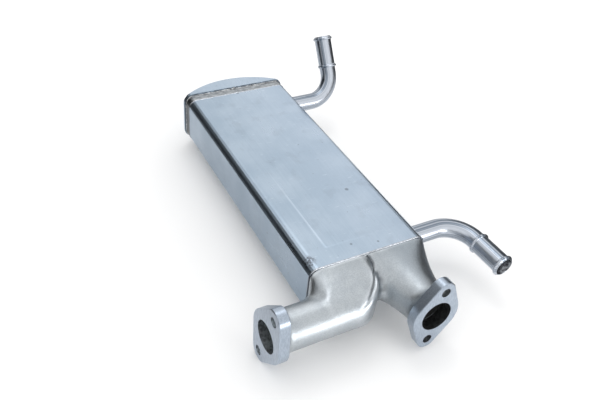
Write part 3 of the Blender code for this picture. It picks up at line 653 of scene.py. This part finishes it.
def hose_pipe(name, root, reach, turned, turn, tail):
    """A tube from inside the shell out along X, round one bend and on to its beaded end."""
    shape = bmesh.new()
    out = Vector((1, 0, 0))
    axis = out.cross(turned)
    start = root - root_depth * out
    bmesh.ops.create_circle(shape, segments=pipe_sides, radius=pipe_radius,
                            matrix=Matrix.Translation(start) @ Matrix.Rotation(math.pi / 2, 4, "Y"))
    layer = shape.verts.layers.float_vector.new("around")
    for vert in shape.verts:
        vert[layer] = (vert.co - start).normalized()
    first = shape.edges[:]
    centre = root + reach * out + bend_radius * turned
    rim = draw_out(shape, first, (reach + root_depth) * out)
    rim = bend_round(shape, rim, centre, axis, turn)
    forward = Matrix.Rotation(turn, 3, axis) @ out
    stations = []
    for from_end in beads_from_end:
        for step in range(bead_steps + 1):
            swell = (bead_radius - spigot_radius) * math.sin(math.pi * step / bead_steps) ** 0.8
            stations.append((tail - from_end - bead_length * (0.5 - step / bead_steps),
                             (spigot_radius if stations else pipe_radius) + swell))
    stations += [(tail - lip_edge, spigot_radius), (tail, spigot_radius - lip_edge),
                 (tail, mouth_radius + lip_edge)]
    outer_stations = len(stations)
    stations += [(tail - lip_edge, mouth_radius), (tail - mouth_depth, mouth_radius),
                 (tail - mouth_depth - mouth_step, pipe_radius - pipe_wall), (0, pipe_radius - pipe_wall)]
    reached = 0
    for number, (place, radius) in enumerate(stations):
        if number == outer_stations:
            outside = set(shape.faces)
        rim = draw_out(shape, rim, (place - reached) * forward, radius)
        reached = place
    rim = bend_round(shape, rim, centre, axis, -turn)
    rim = draw_out(shape, rim, -(reach + root_depth) * out)
    bmesh.ops.bridge_loops(shape, edges=first + rim)
    for face in shape.faces:
        face.material_index = 0 if face in outside else 1
    bmesh.ops.remove_doubles(shape, verts=shape.verts, dist=0.000001)
    bmesh.ops.recalc_face_normals(shape, faces=shape.faces)
    made = settle(name + "_tube", shape, (drawn, painted_shade_tube_bore), sharp=50)
    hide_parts(name)


hose_pipe("near_coolant_pipe", near_pipe_root, reach=0.0351, turned=Vector((0, -1, 0)),
          turn=math.radians(88), tail=0.0407)
hose_pipe("far_coolant_pipe", far_pipe_root, reach=0.0301,
          turned=Vector((0, math.sin(far_pipe_lean), math.cos(far_pipe_lean))),
          turn=math.radians(90), tail=0.0440)

# Welds
# Beads laid by hand right round both ends of the shell, over the joints, and a fillet round the root
# of each coolant pipe. The travelling arc left small lumps, and a knot where each of the far beads
# closes. The bead at the tank, laid hotter, is darker and uneven.
shell_corner = 0.009
corner_steps = 16
bead_grain = 0.0006
bead_arch_steps = 8
bead_sunk = 0.00025
fine_lump = 0.0012
wide_lump = 0.005
knot_place = -0.0130
knot_size = 0.0016
tank_weld_low, tank_weld_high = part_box("far_tank_weld")
# The fillet's steps outwards from the shell, each with the radius there.
fillet_start = 0.0004
fillet_inner_radius = 0.0093
fillet_profile = ((0, 0.0119), (0.0005, 0.0118), (0.0004, 0.0113), (0.0004, 0.0108), (0.0005, 0.0104),
                  (0.0006, 0.0101), (0.0006, 0.0099), (0.0001, 0.0093))
bead_patch_size = 0.002
hot_bead_patch_size = 0.003
dull_bead_colour = (0.42, 0.45, 0.49)
bright_bead_colour = (0.64, 0.67, 0.72)
# Painted shade darkens the beads along the shell's left side.
painted_shade_bead_side_colour = (0.14, 0.16, 0.19)
painted_shade_bead_side_edge = ("X", shell_low.x - 0.0003, shell_low.x + 0.003, 0.85, 0.0)
dark_hot_bead_colour = (0.17, 0.175, 0.185)
light_hot_bead_colour = (0.47, 0.485, 0.495)

bead, tree, shader = new_finish("weld_bead", 1.0, 0.3)
colour = two_tones(tree, mottling(tree, bead_patch_size, 3), 0.35, 0.65,
                   dull_bead_colour, bright_bead_colour)
colour = blend_colours(tree, fade(tree, painted_shade_bead_side_edge), colour, painted_shade_bead_side_colour)
tree.links.new(colour, shader.inputs["Base Color"])

hot_bead, tree, shader = new_finish("tinted_weld_bead", 1.0, 0.32)
colour = two_tones(tree, mottling(tree, hot_bead_patch_size, 4), 0.38, 0.62,
                   dark_hot_bead_colour, light_hot_bead_colour)
tree.links.new(colour, shader.inputs["Base Color"])


def lay_bead(name, place, half_width, proud, lumps, finish, knot=0):
    """A lumpy bead right round the shell, over the joint at a place along it, knotted where it closes."""
    shape = bmesh.new()
    middle = (shell_low + shell_high) / 2
    width, height = shell_high.x - shell_low.x, shell_high.z - shell_low.z
    upright = Matrix.Translation((middle.x, place, middle.z)) @ Matrix.Rotation(math.radians(90), 4, "X")
    bmesh.ops.create_grid(shape, x_segments=1, y_segments=1, size=0.5,
                          matrix=upright @ Matrix.Diagonal((width, height, 1, 1)))
    bmesh.ops.bevel(shape, geom=shape.verts[:], affect="VERTICES", offset=shell_corner,
                    segments=corner_steps, profile=0.5, material=-1)
    bmesh.ops.delete(shape, geom=shape.faces[:], context="FACES_ONLY")
    for edge in [edge for edge in shape.edges if edge.calc_length() > shell_corner]:
        bmesh.ops.subdivide_edges(shape, edges=[edge], cuts=round(edge.calc_length() / bead_grain))
    rim = first = shape.edges[:]
    bmesh.ops.translate(shape, verts=shape.verts, vec=(0, -half_width, 0))
    reached = 0
    for step in range(bead_arch_steps + 1):
        angle = math.pi * step / bead_arch_steps
        out = proud * math.sin(angle) - bead_sunk
        if step:
            rim = draw_out(shape, rim, (0, 0, 0))
        verts = list({vert for edge in rim for vert in edge.verts})
        growth = ((width / 2 + out) / (width / 2 + reached), 1,
                  (height / 2 + out) / (height / 2 + reached))
        bmesh.ops.scale(shape, verts=verts, vec=growth, space=Matrix.Translation(-middle))
        moved = place - half_width * math.cos(angle) - verts[0].co.y
        bmesh.ops.translate(shape, verts=verts, vec=(0, moved, 0))
        reached = out
    bmesh.ops.bridge_loops(shape, edges=first + rim)
    bmesh.ops.recalc_face_normals(shape, faces=shape.faces)
    shape.normal_update()
    for vert in shape.verts:
        crest = 1 - ((vert.co.y - place) / half_width) ** 2
        lump = noise.noise(vert.co / fine_lump) + noise.noise(vert.co / wide_lump)
        closing = math.exp(-((vert.co.x - knot_place) / knot_size) ** 2) if vert.co.z > middle.z else 0
        vert.co += vert.normal * crest * (lumps * lump + knot * closing)
    made = settle(name + "_bead", shape, (finish,), sharp=60)
    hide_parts(name)


lay_bead("near_weld", shell_low.y, half_width=0.0008, proud=0.0005, lumps=0.00010,
         finish=bead)
lay_bead("far_shell_weld", shell_high.y, half_width=0.0010, proud=0.0005, lumps=0.00015,
         finish=bead, knot=0.0006)
lay_bead("far_tank_weld", (tank_weld_low.y + tank_weld_high.y) / 2, half_width=0.0012, proud=0.0009,
         lumps=0.0003, finish=hot_bead, knot=0.0010)
for name, root in (("near_pipe_weld", near_pipe_root), ("far_pipe_weld", far_pipe_root)):
    fillet_ring = bmesh.new()
    start = Matrix.Translation((shell_high.x - fillet_start, root.y, root.z))
    bmesh.ops.create_circle(fillet_ring, segments=64, radius=fillet_inner_radius,
                            matrix=start @ Matrix.Rotation(math.radians(90), 4, "Y"))
    rim = first = fillet_ring.edges[:]
    for step, radius in fillet_profile:
        rim = draw_out(fillet_ring, rim, (step, 0, 0), radius)
    bmesh.ops.bridge_loops(fillet_ring, edges=first + rim)
    bmesh.ops.recalc_face_normals(fillet_ring, faces=fillet_ring.faces)
    made = settle(name + "_fillet", fillet_ring, (bead,), sharp=60)
    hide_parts(name)


# Floor
# The plain white table that the cooler lies on. It is matt, so that it takes the cooler's soft
# shadow and no reflection.
def matt_finish(name, grey, roughness, gloss):
    """An even grey finish with next to no gloss."""
    made, _, shader = new_finish(name, 0.0, roughness)
    shader.inputs["Base Color"].default_value = (grey, grey, grey, 1)
    shader.inputs["Specular IOR Level"].default_value = gloss
    return made


table = bmesh.new()
bmesh.ops.create_grid(table, x_segments=1, y_segments=1, size=3.0)
place_object("floor", table, (matt_finish("white_paper", 0.95, 0.9, 0.1),))

# Dark screens
# Two tall screens of black cloth behind the table, a low grey one round its front and three black
# mats on it, as in any studio for metal parts, so that rounded steel shows dark lines. Nothing but
# a reflection shows them.
screen_distance = 1.3
screen_foot = 0.002
screen_steps = 24
mat_height = 0.0005
black_cloth = matt_finish("black_cloth", 0.02, 1.0, 0.0)
grey_cloth = matt_finish("grey_cloth", 0.30, 1.0, 0.0)


def stand_screen(name, shape, finish):
    """Sets up a screen that shows only as a reflection."""
    screen = place_object(name, shape, (finish,))
    screen.visible_camera = False
    screen.visible_diffuse = False
    screen.visible_shadow = False


def bow(start, stop, height):
    """An upright arc round the table between two bearings, in degrees clockwise from behind it."""
    shape = bmesh.new()
    foot = shape.verts.new((0, screen_distance, screen_foot))
    top = shape.verts.new((0, screen_distance, height))
    post = shape.edges.new((foot, top))
    bmesh.ops.rotate(shape, verts=[foot, top], matrix=Matrix.Rotation(math.radians(-start), 3, "Z"))
    bmesh.ops.spin(shape, geom=[foot, top, post], cent=(0, 0, 0), axis=(0, 0, 1), dvec=(0, 0, 0),
                   angle=math.radians(start - stop), steps=screen_steps, use_merge=False,
                   use_normal_flip=False, use_duplicate=False)
    return shape


def mat(left, right, near, far):
    """A cloth laid flat on the table."""
    shape = bmesh.new()
    place = Matrix.Translation(((left + right) / 2, (near + far) / 2, mat_height))
    bmesh.ops.create_grid(shape, x_segments=1, y_segments=1, size=0.5,
                          matrix=place @ Matrix.Diagonal((right - left, far - near, 1, 1)))
    return shape


stand_screen("left_screen", bow(-80, -8, 1.05), black_cloth)
stand_screen("right_screen", bow(52, 112, 1.0), black_cloth)
stand_screen("front_screen", bow(112, 280, 0.5), grey_cloth)
stand_screen("left_mat", mat(-1.3, -0.18, -0.15, 1.3), black_cloth)
stand_screen("right_mat", mat(0.15, 1.3, -0.6, -0.03), black_cloth)
stand_screen("far_mat", mat(0.13, 1.3, 0.19, 1.3), black_cloth)


# Light
# White surroundings, a low soft lamp at the front right and a weaker one overhead. Both lamps point
# at the gas manifold.
def hang_lamp(name, width, depth, power, place, aim):
    """A flat soft lamp that points at what it lights."""
    softbox = bpy.data.lights.new(name, "AREA")
    softbox.shape = "RECTANGLE"
    softbox.size = width
    softbox.size_y = depth
    softbox.energy = power
    lamp = bpy.data.objects.new(name, softbox)
    lamp.location = place
    lamp.rotation_euler = (Vector(aim) - lamp.location).to_track_quat("-Z", "Y").to_euler()
    bpy.context.scene.collection.objects.link(lamp)


hang_lamp("low_front_lamp", width=0.6, depth=0.22, power=4.3,
          place=(0.42, -1.05, 0.14), aim=(0, -0.15, 0.04))
hang_lamp("overhead_lamp", width=0.4, depth=0.4, power=1.4,
          place=(0.10, 0.35, 1.15), aim=(0, -0.15, 0.05))
surroundings = bpy.data.worlds.new("surroundings")
surroundings.use_nodes = True
sky = surroundings.node_tree.nodes["Background"]
sky.inputs["Color"].default_value = (1, 1, 1, 1)
sky.inputs["Strength"].default_value = 1.08
bpy.context.scene.world = surroundings

# Camera
# It looks down on the cooler from its left front corner, with the gas ports nearest. Its place, turn
# and lens were fitted to the cooler's own straight edges.
lens = bpy.data.cameras.new("camera")
lens.sensor_width = 36
lens.lens = 40.1738
lens.clip_start = 0.01
camera = bpy.data.objects.new("camera", lens)
camera.location = (-0.29375, -0.45829, 0.46979)
camera.rotation_euler = (math.radians(50.5161), math.radians(-4.8288), math.radians(-27.6509))
bpy.context.scene.collection.objects.link(camera)
bpy.context.scene.camera = camera
bpy.context.scene.view_settings.view_transform = "Standard"
